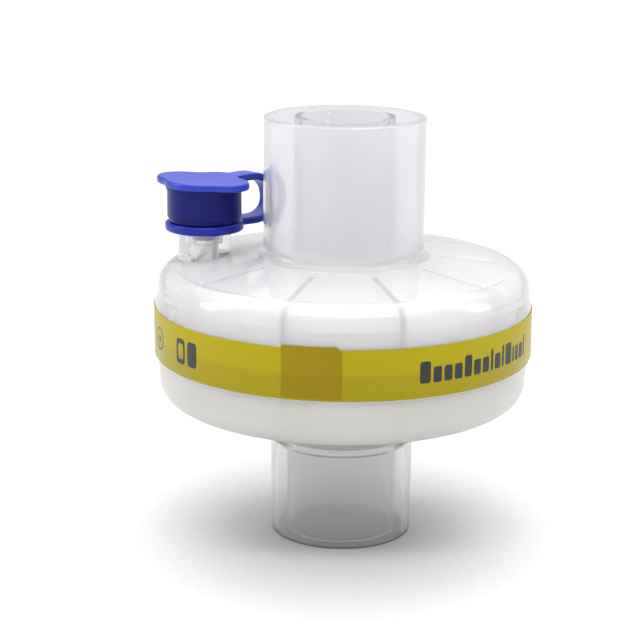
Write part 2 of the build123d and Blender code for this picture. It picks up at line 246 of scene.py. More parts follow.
class Graph:
    """A node tree with short calls to add and join its nodes."""

    def __init__(self, tree: bpy.types.NodeTree) -> None:
        """Empties a tree and keeps it."""
        self.tree = tree
        tree.nodes.clear()

    def add(self, kind: str, operation: Optional[str] = None, **values) -> bpy.types.Node:
        """Adds a node and sets its inputs.

        Args:
            kind: The node's type name.
            operation: The operation of a Math node, or the data type of a Mix node.
            **values: As in fill.

        Returns:
            The new node.
        """
        node = self.tree.nodes.new(kind)
        if operation is not None:
            setattr(node, "data_type" if kind == "ShaderNodeMix" else "operation", operation)
        self.fill(node, **values)
        return node

    def fill(self, node: bpy.types.Node, **values) -> None:
        """Sets inputs to values or sockets, by name with _ for a space, or by number as i0, i1 and so on."""
        for name, value in values.items():
            key = int(name[1:]) if name[0] == "i" and name[1:].isdigit() else name.replace("_", " ")
            self.set(node.inputs[key], value)

    def set(self, socket: bpy.types.NodeSocket, value) -> None:
        """Gives an input a value, or joins it to an output."""
        if isinstance(value, bpy.types.NodeSocket):
            self.tree.links.new(value, socket)
        else:
            socket.default_value = value

    def math(self, operation: str, a, b=0.0, clamp: bool = False) -> bpy.types.NodeSocket:
        """The result of one Math node."""
        node = self.add("ShaderNodeMath", operation, i0=a, i1=b)
        node.use_clamp = clamp
        return node.outputs[0]

    def spread(self, value, low: float, high: float, to_low: float = 0.0, to_high: float = 1.0):
        """A value's range mapped smoothly to another range."""
        node = self.add("ShaderNodeMapRange", i0=value, i1=low, i2=high, i3=to_low, i4=to_high)
        node.interpolation_type = "SMOOTHSTEP"
        return node.outputs[0]

    def noise(self, vector, scale, detail: float = 3.0, roughness: float = 0.5) -> bpy.types.NodeSocket:
        """Noise values about 0.5 at a vector."""
        values = {"Vector": vector, "Scale": scale, "Detail": detail, "Roughness": roughness}
        return self.add("ShaderNodeTexNoise", **values).outputs[0]

    def mix_colour(self, share, first, second) -> bpy.types.NodeSocket:
        """Two colours mixed by a share. Each is a socket, or its red, green and blue."""
        first, second = ((*one, 1.0) if isinstance(one, tuple) else one for one in (first, second))
        return self.add("ShaderNodeMix", "RGBA", i0=share, i6=first, i7=second).outputs[2]

    def bump(self, shader: bpy.types.Node, height, distance: float, strength: float = 1.0) -> None:
        """Raises a shader's surface by a height value."""
        node = self.add("ShaderNodeBump", Height=height, Distance=distance, Strength=strength)
        self.fill(shader, Normal=node.outputs[0])


def new_group(name: str, inputs: dict, outputs: tuple) -> tuple:
    """An empty node group with its sockets.

    Args:
        name: The group's name.
        inputs: The default value of each number by its name, or None for a vector.
        outputs: The names of the numbers that it works out.

    Returns:
        The group's graph, its input node's outputs and its output node.
    """
    tree = bpy.data.node_groups.new(name, "ShaderNodeTree")
    graph = Graph(tree)
    for label, default in inputs.items():
        kind = "NodeSocketVector" if default is None else "NodeSocketFloat"
        socket = tree.interface.new_socket(name=label, in_out="INPUT", socket_type=kind)
        if default is not None:
            socket.default_value = default
    for label in outputs:
        tree.interface.new_socket(name=label, in_out="OUTPUT", socket_type="NodeSocketFloat")
    return graph, graph.add("NodeGroupInput").outputs, graph.add("NodeGroupOutput")


def moulded_skin_group() -> bpy.types.NodeTree:
    """The skin of a moulded plastic: fine grain, slow waviness, cloudy flow and faint handling scuffs."""
    inputs = {
        "Place": None,
        "Grain Scale": 1800.0,
        "Grain": 0.3,
        "Wave Scale": 120.0,
        "Wave": 0.5,
        "Gloss Roughness": 0.1,
        "Roughness Spread": 0.06,
        "Scuffs": 0.2,
    }
    graph, given, out = new_group("moulded_skin", inputs, ("Height", "Roughness", "Cloud"))
    place = given["Place"]
    grain = graph.noise(place, given["Grain Scale"], detail=2.0)
    wave = graph.noise(place, given["Wave Scale"], detail=1.0)
    cloud = graph.spread(graph.noise(place, CLOUD_SCALE, detail=2.0), 0.3, 0.7)
    streaky = graph.add("ShaderNodeMapping", Vector=place, Rotation=SCUFF_TURN, Scale=SCUFF_STRETCH)
    streak = graph.spread(graph.noise(streaky.outputs[0], SCUFF_SCALE, detail=4.0), 0.62, 0.72)
    scuff = graph.math("MULTIPLY", streak, given["Scuffs"])
    grains, waves = graph.math("MULTIPLY", grain, given["Grain"]), graph.math("MULTIPLY", wave, given["Wave"])
    height = graph.math("ADD", grains, waves)
    patchy = graph.math("MULTIPLY", graph.math("SUBTRACT", cloud, 0.5), given["Roughness Spread"])
    rough = graph.math("ADD", graph.math("ADD", given["Gloss Roughness"], patchy), scuff, clamp=True)
    graph.fill(out, Height=height, Roughness=rough, Cloud=cloud)
    return graph.tree


class Finish:
    """A material that is built once, by name."""

    name: str

    def paint(self, graph: Graph, shader: bpy.types.Node) -> None:
        """Adds the nodes of this finish and joins them to its shader."""
        raise NotImplementedError

    def material(self) -> bpy.types.Material:
        """The finish as a material, made at its first use."""
        found = bpy.data.materials.get(self.name)
        if found is not None:
            return found
        made = bpy.data.materials.new(self.name)
        made.use_nodes = True
        graph = Graph(made.node_tree)
        shader = graph.add("ShaderNodeBsdfPrincipled")
        self.paint(graph, shader)
        graph.add("ShaderNodeOutputMaterial", Surface=shader.outputs[0])
        return made

    def place(self, graph: Graph) -> bpy.types.NodeSocket:
        """Object coordinates, in metres."""
        return graph.add("ShaderNodeTexCoord").outputs["Object"]


@dataclass(frozen=True)
class CoreSide:
    """The inside of a shell, which the mould's core leaves matt. Lengths are millimetres.

    A point is inside if it lies deeper than the wall under both outer faces: the crown, a cone that falls
    outwards from (crown_r, crown_z), and the side, a cone that leans inwards above (side_r, side_z).
    """

    crown_r: float
    crown_z: float
    crown_slope_deg: float
    side_r: float
    side_z: float
    side_draft_deg: float
    wall: float = 1.15
    blend: float = 0.1

    def mask(self, graph: Graph, place: bpy.types.NodeSocket) -> bpy.types.NodeSocket:
        """1 on the inside of the shell, and 0 outside it."""
        x, y, z = graph.add("ShaderNodeSeparateXYZ", Vector=place).outputs
        square = graph.math("ADD", graph.math("MULTIPLY", x, x), graph.math("MULTIPLY", y, y))
        radius = graph.math("SQRT", square)
        fall, lean = (math.tan(math.radians(v)) for v in (self.crown_slope_deg, self.side_draft_deg))
        crown_start = (self.crown_z + self.crown_r * fall) * MM
        side_start = (self.side_r + self.side_z * lean) * MM
        depths = []
        for start, along, across, slope in ((crown_start, z, radius, fall), (side_start, radius, z, lean)):
            reached = graph.math("ADD", along, graph.math("MULTIPLY", across, slope))
            depths.append(graph.math("SUBTRACT", start, reached))
        depth = graph.math("MINIMUM", *depths)
        return graph.spread(depth, (self.wall - self.blend) * MM, (self.wall + self.blend) * MM)


@dataclass(frozen=True)
class MouldedPlastic(Finish):
    """A moulded plastic over the shared skin group, plain or see-through."""

    name: str
    colour: tuple
    deep_colour: tuple
    transmission: float = 0.0
    ior: float = 1.49
    roughness: float = 0.1
    roughness_spread: float = 0.05
    grain: float = 0.3
    grain_scale: float = 1800.0
    wave: float = 0.5
    bump: float = 4e-6
    scuffs: float = 0.1
    subsurface: float = 0.0
    core: Optional[CoreSide] = None
    core_roughness: float = 0.5

    def paint(self, graph: Graph, shader: bpy.types.Node) -> None:
        """Cloudy colour, patchy gloss and a fine bump, over the shader's own plain values."""
        place = self.place(graph)
        skin = graph.add("ShaderNodeGroup")
        skin.node_tree = bpy.data.node_groups.get("moulded_skin") or moulded_skin_group()
        graph.fill(skin, Place=place, Grain=self.grain, Grain_Scale=self.grain_scale, Wave=self.wave)
        graph.fill(skin, Gloss_Roughness=self.roughness, Roughness_Spread=self.roughness_spread)
        graph.fill(skin, Scuffs=self.scuffs)
        colour = graph.mix_colour(skin.outputs["Cloud"], self.deep_colour, self.colour)
        rough = skin.outputs["Roughness"]
        if self.core is not None:
            extra = graph.math("MULTIPLY", self.core.mask(graph, place), self.core_roughness - self.roughness)
            rough = graph.math("ADD", rough, extra)
        graph.fill(shader, Base_Color=colour, Roughness=rough)
        graph.fill(shader, IOR=self.ior, Transmission_Weight=self.transmission)
        graph.bump(shader, skin.outputs["Height"], self.bump)
        if self.subsurface > 0:
            graph.fill(shader, Subsurface_Weight=self.subsurface, Subsurface_Scale=MM)
            graph.fill(shader, Subsurface_Radius=SUBSURFACE_REACH)


@dataclass(frozen=True)
class NonwovenMedia(Finish):
    """White fibrous felt."""

    name: str = "nonwoven_media"
    colour: tuple = (0.995, 0.995, 0.99)
    deep_colour: tuple = (0.96, 0.96, 0.955)
    lay_turns: tuple = (0.3, 1.4, 2.5)
    fibre_scale: float = 420.0
    fibre_stretch: float = 9.0
    fibre_height: float = 0.12 * MM

    def paint(self, graph: Graph, shader: bpy.types.Node) -> None:
        """Crossing stretched noises as fibres, on white."""
        place = self.place(graph)
        lays = []
        stretch = (1.0, self.fibre_stretch, 1.0)
        for turn in self.lay_turns:
            lay = graph.add("ShaderNodeMapping", Vector=place, Rotation=(0.0, 0.0, turn), Scale=stretch)
            lays.append(graph.noise(lay.outputs[0], self.fibre_scale, detail=5.0, roughness=0.6))
        fibres = graph.math("MAXIMUM", graph.math("MAXIMUM", lays[0], lays[1]), lays[2])
        shade = graph.spread(fibres, 0.45, 0.75)
        graph.fill(shader, Base_Color=graph.mix_colour(shade, self.deep_colour, self.colour), Roughness=0.9)
        graph.bump(shader, fibres, self.fibre_height, strength=0.6)


@dataclass(frozen=True)
class LabelFilm(Finish):
    """Satin yellow film, with painted shade below the weld line, where the lower shell's rim stands behind it.
    """

    name: str
    upper_colour: tuple
    lower_shade_colour: tuple
    seam_z: float
    seam_blend: float = 0.3 * MM
    fleck_colour: tuple = (0.51, 0.44, 0.02)
    roughness: float = 0.32

    def paint(self, graph: Graph, shader: bpy.types.Node) -> None:
        """Two yellows that meet at the weld line, the lower one painted shade, with a fine mottle and a soft
        bump.
        """
        place = self.place(graph)
        height = graph.add("ShaderNodeSeparateXYZ", Vector=place).outputs[2]
        share = graph.spread(height, self.seam_z - self.seam_blend, self.seam_z + self.seam_blend)
        base = graph.mix_colour(share, self.lower_shade_colour, self.upper_colour)
        mottle = graph.spread(graph.noise(place, 2600.0, detail=2.0), 0.3, 0.7, 0.0, 0.08)
        colour = graph.mix_colour(mottle, base, self.fleck_colour)
        patch = graph.noise(place, 90.0, detail=2.0)
        rough = graph.spread(patch, 0.3, 0.7, self.roughness - 0.05, self.roughness + 0.08)
        graph.fill(shader, Base_Color=colour, Roughness=rough, Specular_IOR_Level=0.15)
        graph.bump(shader, graph.noise(place, 700.0, detail=3.0), 5e-6)


@dataclass(frozen=True)
class PrintInk(Finish):
    """Black screen-print ink."""

    name: str = "print_ink"
    colour: tuple = (0.012, 0.012, 0.012)
    pinhole_colour: tuple = (0.16, 0.14, 0.04)

    def paint(self, graph: Graph, shader: bpy.types.Node) -> None:
        """Near black, with pinholes a shade lighter."""
        place = self.place(graph)
        pinholes = graph.spread(graph.noise(place, 5200.0, detail=2.0), 0.62, 0.75, 0.0, 0.25)
        rough = graph.spread(graph.noise(place, 900.0), 0.3, 0.7, 0.38, 0.5)
        colour = graph.mix_colour(pinholes, self.colour, self.pinhole_colour)
        graph.fill(shader, Base_Color=colour, Roughness=rough)


@dataclass(frozen=True)
class PaleFloor(Finish):
    """Matt pale studio paper."""

    name: str = "pale_floor"
    colour: tuple = (0.635, 0.635, 0.635)
    deep_colour: tuple = (0.615, 0.615, 0.615)

    def paint(self, graph: Graph, shader: bpy.types.Node) -> None:
        """A light grey, which the lights make white, with a very faint tooth."""
        tooth = graph.noise(self.place(graph), 900.0, detail=3.0)
        colour = graph.mix_colour(graph.spread(tooth, 0.3, 0.7), self.deep_colour, self.colour)
        graph.fill(shader, Base_Color=colour, Roughness=0.85, Specular_IOR_Level=0.2)
        graph.bump(shader, tooth, 0.02 * MM, strength=0.3)


SLEEVE_PLASTIC = MouldedPlastic(
    "clear_polypropylene",
    colour=(0.93, 0.927, 0.95),
    deep_colour=(0.905, 0.902, 0.93),
    transmission=0.7,
    roughness=0.06,
    wave=0.8,
    bump=6e-6,
)
DOME_PLASTIC = replace(
    SLEEVE_PLASTIC,
    name="hazy_polypropylene",
    colour=(0.99, 0.985, 0.985),
    deep_colour=(0.98, 0.975, 0.98),
    transmission=0.72,
    roughness=0.07,
    core=CoreSide(
        crown_r=12.35, crown_z=44.4, crown_slope_deg=6.8, side_r=29.0, side_z=36.9, side_draft_deg=7.1
    ),
    core_roughness=0.7,
)
CONE_PLASTIC = replace(SLEEVE_PLASTIC, name="cone_polypropylene", transmission=0.9, ior=1.15, roughness=0.2)
PORT_PLASTIC = MouldedPlastic(
    "white_polypropylene",
    colour=(0.99, 0.985, 0.98),
    deep_colour=(0.985, 0.98, 0.975),
    transmission=0.74,
    roughness=0.07,
)
# Opaque white is painted light: on the socket floor it stands in for the light that falls down the socket, and
# on the clear ribs for the light they let through.
PAINTED_LIGHT_RIB_PLASTIC = replace(PORT_PLASTIC, name="rib_and_socket_painted_light", transmission=0.0, ior=1.2)
# The bowl's colour is painted shade: a darker copy of the tube's plastic, for the bowl's shaded sides.
SHADED_BOWL_PLASTIC = MouldedPlastic(
    "milky_bowl_painted_shade",
    colour=(0.81, 0.80, 0.77),
    deep_colour=(0.78, 0.765, 0.735),
    transmission=0.42,
    roughness=0.32,
    grain=1.0,
    grain_scale=3200.0,
    bump=1.2e-5,
)
TUBE_PLASTIC = MouldedPlastic(
    "grey_polypropylene",
    colour=(0.945, 0.945, 0.94),
    deep_colour=(0.925, 0.925, 0.92),
    transmission=0.84,
    roughness=0.07,
    grain=0.6,
    grain_scale=2600.0,
    bump=6e-6,
)
PLATE_PLASTIC = MouldedPlastic(
    "blue_cap_plastic",
    colour=(0.010, 0.037, 0.42),
    deep_colour=(0.008, 0.029, 0.36),
    ior=1.46,
    roughness=0.32,
    grain=1.0,
    grain_scale=2600.0,
    bump=8e-6,
    scuffs=0.15,
    subsurface=0.12,
)
# The ring and the skirt are shaded copies of the plate's plastic: their darker blues and weaker reflections
# (lower IOR) are painted shade.
SHADED_RING_PLASTIC = replace(
    PLATE_PLASTIC,
    name="ring_blue_painted_shade",
    colour=(0.008, 0.016, 0.30),
    deep_colour=(0.006, 0.012, 0.25),
    ior=1.36,
)
SHADED_SKIRT_PLASTIC = replace(
    PLATE_PLASTIC,
    name="skirt_blue_painted_shade",
    colour=(0.004, 0.007, 0.13),
    deep_colour=(0.002, 0.004, 0.10),
    ior=1.27,
    roughness=0.3,
    subsurface=0.0,
)


def dress(piece: bpy.types.Object, finish: Finish) -> bpy.types.Object:
    """Gives a piece one finish over all its faces."""
    material = finish.material()
    if piece.data.materials:
        for index in range(len(piece.data.materials)):
            piece.data.materials[index] = material
    else:
        piece.data.materials.append(material)
    return piece


def settle(piece: bpy.types.Object, body: Body, slot: Slot, *replaced: str) -> bpy.types.Object:
    """Puts a finished piece on its body, hides the nodes that it stands for, and logs its faces."""
    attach(piece, body.value)
    if replaced:
        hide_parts(*replaced)
    log.info("%s: %d faces on %s", piece.name, len(piece.data.polygons), body.value)
    return piece


def read_all(items, key: str, width: int = 1) -> np.ndarray:
    """What every vertex, loop or face has under a key: a whole number, or the values of a vector."""
    values = np.empty((len(items), width), dtype=np.int32 if width == 1 else float)
    items.foreach_get(key, values.ravel())
    return values.squeeze()


@dataclass
class NodeCopy:
    """A copy of a CAD node's mesh whose faces take different finishes. Lengths are millimetres."""

    node: str
    name: str
    mesh: bpy.types.Mesh = field(init=False)
    top: np.ndarray = field(init=False)
    centre: np.ndarray = field(init=False)
    normal: np.ndarray = field(init=False)

    def __post_init__(self) -> None:
        """Copies the mesh and reads each face's highest point, centre and normal."""
        self.mesh = frame["nodes"][self.node].data.copy()
        self.mesh.name = self.name
        faces = self.mesh.polygons
        height = read_all(self.mesh.vertices, "co", 3)[:, 2]
        corner, start = read_all(self.mesh.loops, "vertex_index"), read_all(faces, "loop_start")
        self.top = np.maximum.reduceat(height[corner], start) / MM
        self.centre, self.normal = read_all(faces, "center", 3) / MM, read_all(faces, "normal", 3)

    @property
    def radius(self) -> np.ndarray:
        """Each face's distance from the airway axis."""
        return np.hypot(self.centre[:, 0], self.centre[:, 1])

    @property
    def outward(self) -> np.ndarray:
        """How far each face looks away from the airway axis, from -1 to 1."""
        return (self.centre[:, 0] * self.normal[:, 0] + self.centre[:, 1] * self.normal[:, 1]) / self.radius

    def finished(self, base: Finish, zones: list) -> bpy.types.Object:
        """The copy as an object with several finishes.

        Args:
            base: The finish of the faces that no zone takes.
            zones: Pairs of a mask over the faces and its finish. A later zone wins over an earlier one.

        Returns:
            The object, linked to the scene.
        """
        self.mesh.materials.clear()
        self.mesh.materials.append(base.material())
        chosen = np.zeros(len(self.mesh.polygons), dtype=np.int32)
        for number, (mask, finish) in enumerate(zones, start=1):
            self.mesh.materials.append(finish.material())
            chosen[mask] = number
        self.mesh.polygons.foreach_set("material_index", chosen)
        made = bpy.data.objects.new(self.name, self.mesh)
        bpy.context.scene.collection.objects.link(made)
        return made


@dataclass
class Shells:
    """The two welded shells and the filter disc between them. Lengths are millimetres.

    Faces are told apart by where they are: each height and radius here marks off a zone of the CAD shells.
    """

    sleeve_split: float = 46.0
    cone_r: float = 9.6
    port_r: float = 4.4
    port_z: float = 43.0
    socket_floor: float = 45.5
    socket_r: float = 11.3
    rib_start_r: float = 10.0
    rib_end_r: float = 27.0
    rib_low: float = 37.0
    rib_top: float = 43.4
    tube_split: float = 19.85
    spigot_low: float = 33.1
    side_on: float = 0.3
    face_down: float = -0.9
    floor_play: float = 0.05

    def ribs(self, shell: NodeCopy) -> np.ndarray:
        """A mask of the ribs' sides, which look along the circle, and of the edges under them."""
        sides = (np.abs(shell.outward) < self.side_on) & (np.abs(shell.normal[:, 2]) < self.side_on)
        low = (shell.top < self.rib_low) & (shell.radius < self.rib_end_r)
        edges = (shell.normal[:, 2] < self.face_down) & low
        return (sides | edges) & (shell.radius > self.rib_start_r) & (shell.top < self.rib_top)

    def port(self, shell: NodeCopy) -> np.ndarray:
        """A mask of the sampling port's hub, above the dome."""
        away = shell.centre[:, :2] - port_axis_mm()
        return (np.hypot(away[:, 0], away[:, 1]) < self.port_r) & (shell.top > self.port_z)

    def upper(self) -> bpy.types.Object:
        """The upper shell: hazy dome and sleeve, clearer cone, ribs and socket floor painted opaque white as
        light, and the port.
        """
        shell = NodeCopy("upper_housing", "upper_shell")
        high = shell.top > self.sleeve_split
        cone = high & (shell.radius < self.cone_r)
        floor = (np.abs(shell.top - self.socket_floor) < self.floor_play) & (shell.radius < self.socket_r)
        zones = [
            (high, SLEEVE_PLASTIC),
            (cone, CONE_PLASTIC),
            # Painted light: opaque white ribs and socket floor.
            (self.ribs(shell) | floor, PAINTED_LIGHT_RIB_PLASTIC),
            (self.port(shell), PORT_PLASTIC),
        ]
        return settle(shell.finished(DOME_PLASTIC, zones), Body.HOUSING, Slot.CLEAR, "upper_housing")

    def lower(self) -> bpy.types.Object:
        """The lower shell: a clearer connector, a frosted bowl whose darker colour is painted shade, and a
        spigot like the port.
        """
        shell = NodeCopy("lower_housing", "lower_shell")
        zones = [
            (shell.top > self.tube_split, SHADED_BOWL_PLASTIC),
            (shell.top > self.spigot_low, PORT_PLASTIC),
        ]
        return settle(shell.finished(TUBE_PLASTIC, zones), Body.HOUSING, Slot.MILKY, "lower_housing")

    def build(self) -> None:
        """Builds the shells and dresses the disc."""
        self.upper()
        self.lower()
        media = NonwovenMedia()
        dress(frame["nodes"]["filter_media"], media)
        log.info("filter_media dressed as %s", media.name)


@dataclass(frozen=True)
class Mark:
    """One printed shape on the label: a superellipse. Lengths are millimetres.

    The power is 2 for an ellipse and larger for a squarer shape. The hole is the open middle's share of the
    size, and rise is the centre's height over the middle of the label.
    """

    centre_deg: float
    half_wide: float
    half_high: float
    power: float
    hole: float = 0.0
    rise: float = 0.0


@dataclass
class Label:
    """The wrapped yellow label: the band, its lapped end and plain print. Lengths are millimetres."""

    thickness: float = 0.13
    steps: int = 360
    lap_start_deg: float = -107.0
    lap_end_deg: float = -90.2
    lap_rise: float = 0.45
    lap_clip: float = 0.6
    lap_steps: int = 60
    lap_end_step_deg: float = 0.012
    lap_seat: float = 0.002
    ink_thickness: float = 0.012
    ink_lift: float = 0.001
    edge_round: float = 0.03
    seam_z: float = 33.0
    left_marks: tuple = (
        Mark(-160.0, 1.75, 1.75, 2.0, hole=0.84),
        Mark(-160.0, 0.5, 0.5, 2.0),
        Mark(-144.3, 1.15, 1.9, 5.0, hole=0.62),
        Mark(-138.6, 1.1, 1.9, 5.0),
    )
    mark_points: int = 48
    smallest_hole: float = 0.02
    bars_from_deg: float = -67.9
    bar_gap: float = 0.44
    bar_power: float = 7.0
    tall_bar: float = 1.6
    low_bar: float = 1.15
    radius: float = field(init=False)
    bottom: float = field(init=False)
    top: float = field(init=False)

    def __post_init__(self) -> None:
        """Reads the band's radius and height from its CAD node."""
        low, high = box_mm("label_band")
        self.radius = (high[0] - low[0]) / 2
        self.bottom = low[2]
        self.top = high[2] - self.lap_rise

    def band(self) -> bpy.types.Object:
        """One full turn: a thin rounded rectangle carried round the axis."""
        outer, inner = self.radius, self.radius - self.thickness
        corners = [(inner, self.bottom), (outer, self.bottom), (outer, self.top), (inner, self.top)]
        outline = round_corners(corners, [self.edge_round] * 4, steps=2)
        piece = lathe(outline * MM, self.steps).to_object("label_wrap")
        # The second yellow is painted shade below the weld line.
        film = LabelFilm("label_film", (0.365, 0.293, 0.004), (0.33, 0.26, 0.003), self.seam_z * MM)
        return settle(dress(piece, film), Body.HOUSING, Slot.LABEL, "label_band")

    def wrapped(self, arc: np.ndarray, height: np.ndarray, lift: float) -> np.ndarray:
        """Points at an angle in degrees, a height and a lift off the label's face, in metres."""
        angle = np.radians(arc)
        radius = self.radius + lift
        return np.stack([radius * np.cos(angle), radius * np.sin(angle), height], axis=-1) * MM

    def lap(self) -> bpy.types.Object:
        """The lapped end: a strip whose top corner is cut off at 45 degrees.

        The top edge falls by as much as the strip has run into its last stretch, which is as long as the cut.
        """
        arc = np.linspace(self.lap_start_deg, self.lap_end_deg, self.lap_steps)
        clip_from = self.lap_end_deg - np.degrees(self.lap_clip / self.radius)
        arc = np.sort(np.append(arc, [clip_from, self.lap_end_deg - self.lap_end_step_deg]))
        to_end = np.radians(self.lap_end_deg - arc) * self.radius
        top = self.top + self.lap_rise - np.clip(self.lap_clip - to_end, 0, None)
        bottom = np.full_like(arc, self.bottom + self.lap_rise)
        low_lift, high_lift = self.lap_seat, self.thickness
        rows = []
        for share, lift in ((0.0, low_lift), (0.0, high_lift), (1.0, high_lift), (1.0, low_lift)):
            rows.append(self.wrapped(arc, bottom + (top - bottom) * share, lift))
        piece = Surface.from_grid(np.stack(rows, axis=1), cap_ends=True).to_object("label_lap")
        # The second yellow is painted shade below the weld line.
        film = LabelFilm("label_film_double", (0.28, 0.192, 0.001), (0.262, 0.172, 0.001), self.seam_z * MM)
        return settle(dress(piece, film), Body.HOUSING, Slot.LABEL)

    def mark(self, shape: Mark) -> Surface:
        """A printed shape as a thin closed slab, wrapped on the label.

        The edge is (wide * sign(cos t) * |cos t| ^ (2 / power), high * sign(sin t) * |sin t| ^ (2 / power)).
        """
        turn = np.linspace(0, FULL_TURN, self.mark_points, endpoint=False)
        edge_x = np.sign(np.cos(turn)) * np.abs(np.cos(turn)) ** (2 / shape.power)
        edge_z = np.sign(np.sin(turn)) * np.abs(np.sin(turn)) ** (2 / shape.power)
        middle = (self.top + self.bottom) / 2 + shape.rise
        inner, face = max(shape.hole, self.smallest_hole), self.ink_thickness
        rows = []
        for share, lift in ((inner, 0.0), (1.0, 0.0), (1.0, face), (inner, face)):
            across = shape.centre_deg + np.degrees(shape.half_wide * share * edge_x / self.radius)
            up = middle + shape.half_high * share * edge_z
            rows.append(self.wrapped(across, up, lift + self.ink_lift))
        return Surface.from_grid(np.stack(rows), wrap_rows=shape.hole > 0, cap_ends=shape.hole <= 0)

    def bars(self) -> list:
        """The row of bars on the right, which stand on one line, from their half widths and half heights."""
        wide, mid, slim, tall, low = 0.85, 0.68, 0.26, self.tall_bar, self.low_bar
        sizes = [(wide, tall)] + [(mid, low)] * 3 + [(mid, tall)] + [(mid, low)] * 2
        sizes += [(slim, tall), (mid, low), (slim, tall), (wide, tall)]
        sizes += [(slim, low), (0.5, low), (mid, low), (slim, tall)]
        arc, made = self.bars_from_deg, []
        for half_wide, half_high in sizes:
            arc += np.degrees(half_wide / self.radius)
            made.append(Mark(arc, half_wide, half_high, self.bar_power, rise=half_high - tall))
            arc += np.degrees((half_wide + self.bar_gap) / self.radius)
        return made

    def print_marks(self) -> bpy.types.Object:
        """Plain shapes in the places of the print: a ring and two blocks on the left, and the bars."""
        whole = reduce(Surface.joined, [self.mark(shape) for shape in (*self.left_marks, *self.bars())])
        return settle(dress(whole.to_object("label_print"), PrintInk()), Body.HOUSING, Slot.LABEL)

    def build(self) -> None:
        """Builds the band, its lap and its print."""
        self.band()
        self.lap()
        self.print_marks()


def swell(azimuth: np.ndarray, centre: float, half_spread: float) -> np.ndarray:
    """A squared cosine: 1 at the centre, and 0 from half_spread degrees away."""
    away = (azimuth - centre + 180) % 360 - 180
    return np.where(np.abs(away) < half_spread, np.cos(QUARTER_TURN * away / half_spread) ** 2, 0.0)


